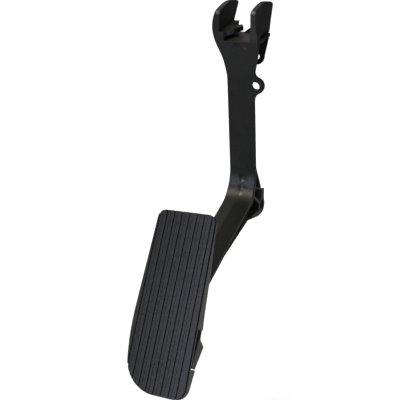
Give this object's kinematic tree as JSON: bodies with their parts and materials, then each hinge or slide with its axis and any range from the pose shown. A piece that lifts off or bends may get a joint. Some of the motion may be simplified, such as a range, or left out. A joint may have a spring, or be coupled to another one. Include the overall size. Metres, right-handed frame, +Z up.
{
  "type": "accelerator pedal",
  "caption": "Hanging accelerator pedal lever: moulded black arm with a fork at the top, eyed lugs, a ribbed knee boss and a grooved foot pad that tilts on a sprung hinge",
  "frame": {"origin": "mouth of the fork: midway between the ears, on the front face of the arm, level with the front corners of the ears", "axes": "X across the pedal to the driver's right, Y away from the driver, Z up with the pedal hanging at rest"},
  "size_m": [0.0607, 0.2879, 0.2717],
  "materials": {
    "black_nylon": "semi-gloss black moulded glass-filled nylon with a fine grain",
    "grey_nylon": "worn grey-black moulded nylon",
    "tread_rubber": "matt grained dark grey tread",
    "pin_steel": "ground steel",
    "bush_acetal": "natural acetal",
    "spring_steel": "drawn spring wire"
  },
  "bodies": {
    "lever": {"pedal_arm": "black_nylon", "hinge_pin": "pin_steel", "pad_spring": "spring_steel"},
    "pad": {"foot_plate": "grey_nylon", "tread_mat": "tread_rubber", "hinge_bush_left": "bush_acetal", "hinge_bush_right": "bush_acetal"}
  },
  "joints": [
    {"name": "pad_tilt", "type": "hinge", "parent": "lever", "child": "pad", "pos_m": [0, -0.19841, -0.24003], "axis": [-1, 0, 0], "range_deg": [0, 10], "stiffness_Nm_per_rad": 0.5, "springref_deg": -17.19, "deforming": ["pad_spring"]}
  ]
}
